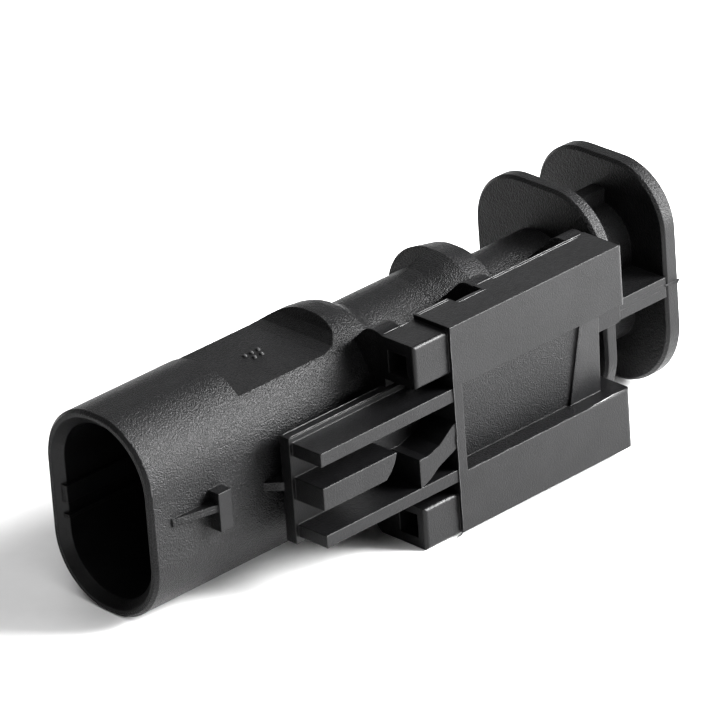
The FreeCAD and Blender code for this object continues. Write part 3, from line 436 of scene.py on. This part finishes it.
def tinned_brass():
    """Hot-tinned strip: pale grey metal, faintly cloudy, with fine rolling lines along X."""
    material, tree, place = start_material("tinned_brass")
    stretched = add_node(tree, "ShaderNodeMapping", inputs={
        "Vector": place, "Scale": (ROLLING_STRETCH, 1.0, 1.0)}).outputs["Vector"]
    rolling = noise(tree, stretched, ROLLING_LINE_MM, 2.0, 0.6)
    cloud = noise(tree, place, TIN_CLOUD_MM, 3.0, 0.6)
    end_material(tree, "ShaderNodeBsdfPrincipled", {
        "Base Color": two_tone(tree, cloud, TIN_DEEP, 0.35, TIN_PALE, 0.65), "Metallic": 1.0,
        "Roughness": spread(tree, cloud, 0.22, 0.36),
        "Normal": relief(tree, rolling, ROLLING_DEPTH_MM, 0.3)})
    return material


tin = tinned_brass()
dress_node("upper_blade_contact", tin)
dress_node("lower_blade_contact", tin)

# Wire seals: rings of oily silicone rubber, moulded with three lips. Each is crimped on
# its wire and pushed into its bore from behind.

SILICONE_BLUE = "#2a4f9a"
OIL_PATCH_MM = 0.7
SILICONE_IOR = 1.41
SILICONE_GLOW_DEPTH_MM = 0.8


def oiled_silicone():
    """Self-oiling silicone: a soft, slightly see-through blue with a wet sheen."""
    material, tree, place = start_material("oiled_silicone")
    oil = noise(tree, place, OIL_PATCH_MM, 2.0, 0.5)
    end_material(tree, "ShaderNodeBsdfPrincipled", {
        "Base Color": linear(SILICONE_BLUE), "Roughness": spread(tree, oil, 0.28, 0.45),
        "IOR": SILICONE_IOR, "Subsurface Weight": 0.15,
        "Subsurface Scale": SILICONE_GLOW_DEPTH_MM / 1000})
    return material


silicone = oiled_silicone()
dress_node("upper_wire_seal", silicone)
dress_node("lower_wire_seal", silicone)

# Floor: a sheet of white card. It falls 1.4 degrees towards the rear and 1.1 degrees
# towards the rail, because the connector rests on three points: the bottom of its mouth,
# the foot of its lower block and its front flange.

REST_AT_MOUTH_M = -0.01026
REST_SLOPE_TO_REAR = 1.414 / 57.5
REST_SLOPE_TO_RAIL = 0.17 / 8.67
CARD_HALF_M = 3.0
CARD_SHADED = "#ebebeb"
CARD_WHITE = "#f0f0f0"
CARD_FIBRE_MM = 2.0


def white_card():
    """Matt white board, very faintly mottled."""
    material, tree, place = start_material("white_card")
    fibre = noise(tree, place, CARD_FIBRE_MM, 2.0, 0.5)
    end_material(tree, "ShaderNodeBsdfDiffuse", {
        "Color": two_tone(tree, fibre, CARD_SHADED, 0.0, CARD_WHITE, 1.0)})
    return material


card_mesh = bpy.data.meshes.new("floor_card")
card_corners = [(x, y, REST_AT_MOUTH_M - REST_SLOPE_TO_REAR * x + REST_SLOPE_TO_RAIL * y)
                for x, y in ((-CARD_HALF_M, -CARD_HALF_M), (CARD_HALF_M, -CARD_HALF_M),
                             (CARD_HALF_M, CARD_HALF_M), (-CARD_HALF_M, CARD_HALF_M))]
card_mesh.from_pydata(card_corners, [], [(0, 1, 2, 3)])
card_mesh.materials.append(white_card())
floor_card = bpy.data.objects.new("floor_card", card_mesh)
bpy.context.scene.collection.objects.link(floor_card)

# Light: soft studio light from the wire end, on the rail's side, which is the photo's right.
# The key softbox lays the highlight along the near top of the shroud, a low strip and a
# small panel over the card light the rail's side, and a weak softbox serves the far side.
# Three broad weak lights from far off even out the card and the hidden sides.

LIT_MIDDLE_M = (0.034, -0.002, 0.0)
BROAD_LIGHT_ANGLE = math.radians(45)
EVEN_FILL = 0.05


def softbox(name, towards, distance, width, height, watts, aimed_at=LIT_MIDDLE_M):
    """An area light that looks back at a place from a direction."""
    lamp = bpy.data.lights.new(name, "AREA")
    lamp.shape = "RECTANGLE"
    lamp.size = width
    lamp.size_y = height
    lamp.energy = watts
    holder = bpy.data.objects.new(name, lamp)
    aim = Vector(towards).normalized()
    holder.location = Vector(aimed_at) + aim * distance
    holder.rotation_euler = aim.to_track_quat("Z", "Y").to_euler()
    bpy.context.scene.collection.objects.link(holder)


def broad_light(name, towards, strength):
    """A far light as wide as a studio ceiling panel, equally strong all over the card."""
    lamp = bpy.data.lights.new(name, "SUN")
    lamp.angle = BROAD_LIGHT_ANGLE
    lamp.energy = strength
    holder = bpy.data.objects.new(name, lamp)
    holder.rotation_euler = Vector(towards).to_track_quat("Z", "Y").to_euler()
    bpy.context.scene.collection.objects.link(holder)


# direction, then distance, width and height in metres, then watts
softbox("key_softbox", (0.64, -0.58, 0.47), 0.45, 0.22, 0.22, 8.8)
softbox("low_strip", (0.62, -0.74, 0.13), 0.45, 0.35, 0.12, 1.6)
softbox("back_softbox", (0.60, 0.66, 0.50), 0.80, 0.40, 0.40, 0.22)
softbox("floor_panel", UP, 0.10, 0.12, 0.12, 0.21, aimed_at=(0.12, -0.10, -0.03))
broad_light("ceiling_light", (0.0, 0.25, 1.0), 0.7)
broad_light("front_light", (-0.35, -0.40, 0.85), 0.95)
broad_light("far_side_light", (0.40, 0.85, 0.35), 0.32)

world = bpy.data.worlds.new("even_fill")
world.use_nodes = True
world.node_tree.nodes["Background"].inputs["Color"].default_value = linear("#ffffff")
world.node_tree.nodes["Background"].inputs["Strength"].default_value = EVEN_FILL
bpy.context.scene.world = world

# Camera: a long lens in front of the mouth, on the rail's side and a little above, placed
# where a fit to the outlines of the connector puts it. The photo has deep blacks beside
# clean whites, which the medium high contrast look gives.

CAMERA_PLACE_M = (-0.38856, -0.46448, 0.30935)
CAMERA_RIGHT = (0.7161, -0.6948, -0.0671)
CAMERA_UP = (0.3497, 0.2738, 0.8960)
CAMERA_AHEAD = (0.6041, 0.6651, -0.4390)
CAMERA_FOCAL_PX = 7418.49
FRAME_PX = 720
SENSOR_MM = 36.0

lens = bpy.data.cameras.new("photo_camera")
lens.sensor_fit = "HORIZONTAL"
lens.sensor_width = SENSOR_MM
lens.lens = CAMERA_FOCAL_PX / FRAME_PX * SENSOR_MM
lens.clip_start = 0.01
lens.clip_end = 20.0
camera = bpy.data.objects.new("photo_camera", lens)
turn = Matrix((CAMERA_RIGHT, CAMERA_UP, [-part for part in CAMERA_AHEAD])).transposed()
camera.matrix_world = Matrix.Translation(CAMERA_PLACE_M) @ turn.to_4x4()
bpy.context.scene.collection.objects.link(camera)
bpy.context.scene.camera = camera
bpy.context.scene.view_settings.view_transform = "Standard"
bpy.context.scene.view_settings.look = "Medium High Contrast"
